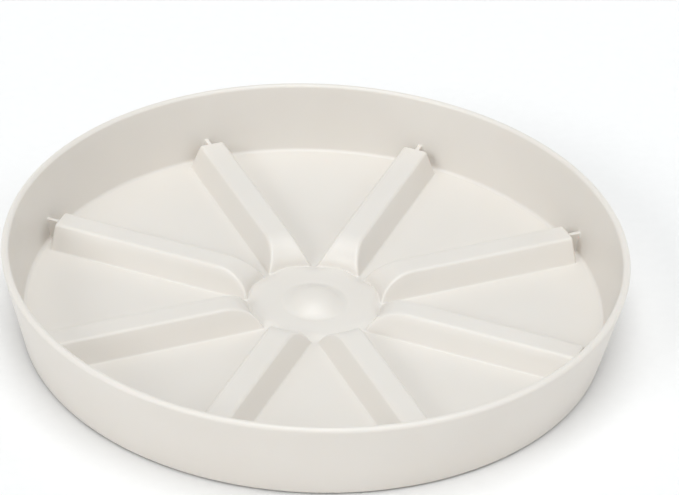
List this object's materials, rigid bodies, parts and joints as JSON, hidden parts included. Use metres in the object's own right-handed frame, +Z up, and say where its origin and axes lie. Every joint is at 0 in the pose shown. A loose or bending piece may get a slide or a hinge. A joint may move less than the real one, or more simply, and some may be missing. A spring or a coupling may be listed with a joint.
{
  "type": "lazy susan turntable",
  "caption": "Shallow round plastic tray with a flared wall and raised radial ribs that turns on a hidden flat ball bearing and a fixed base plate.",
  "frame": {"origin": "on the surface it stands on, at the spin axis, which is the centre of the base of the bounding box", "axes": "+Z up along the spin axis; +X and +Y each point midway between two ribs of the tray at rest"},
  "size_m": [0.19, 0.19, 0.0278],
  "materials": {
    "tray_plastic": "satin moulded ivory plastic",
    "base_plastic": "fine-grained moulded plastic",
    "cage_plastic": "natural acetal",
    "bush_plastic": "smooth natural acetal",
    "ball_steel": "polished bearing steel",
    "washer_steel": "zinc-plated steel",
    "screw_steel": "zinc-plated steel",
    "foot_rubber": "matt non-slip rubber"
  },
  "bodies": {
    "base": {"base_plate": "base_plastic", "pivot_bush": "bush_plastic", "foot_pad_1": "foot_rubber", "foot_pad_2": "foot_rubber", "foot_pad_3": "foot_rubber", "foot_pad_4": "foot_rubber", "foot_pad_5": "foot_rubber", "foot_pad_6": "foot_rubber"},
    "cage": {"ball_cage": "cage_plastic", "bearing_ball_01": "ball_steel", "bearing_ball_02": "ball_steel", "bearing_ball_03": "ball_steel", "bearing_ball_04": "ball_steel", "bearing_ball_05": "ball_steel", "bearing_ball_06": "ball_steel", "bearing_ball_07": "ball_steel", "bearing_ball_08": "ball_steel", "bearing_ball_09": "ball_steel", "bearing_ball_10": "ball_steel", "bearing_ball_11": "ball_steel", "bearing_ball_12": "ball_steel", "bearing_ball_13": "ball_steel", "bearing_ball_14": "ball_steel", "bearing_ball_15": "ball_steel", "bearing_ball_16": "ball_steel", "bearing_ball_17": "ball_steel", "bearing_ball_18": "ball_steel", "bearing_ball_19": "ball_steel", "bearing_ball_20": "ball_steel", "bearing_ball_21": "ball_steel", "bearing_ball_22": "ball_steel", "bearing_ball_23": "ball_steel", "bearing_ball_24": "ball_steel"},
    "turntable": {"tray": "tray_plastic", "retaining_washer": "washer_steel", "retaining_screw": "screw_steel"}
  },
  "joints": [
    {"name": "tray_spin", "type": "hinge", "parent": "base", "child": "turntable", "pos_m": [0, 0, 0.0046], "axis": [0, 0, 1], "continuous": true},
    {"name": "cage_spin", "type": "hinge", "parent": "base", "child": "cage", "pos_m": [0, 0, 0.00325], "axis": [0, 0, 1], "continuous": true}
  ],
  "couplings": [
    {"joint": "cage_spin", "follows": "tray_spin", "ratio": 0.5}
  ]
}
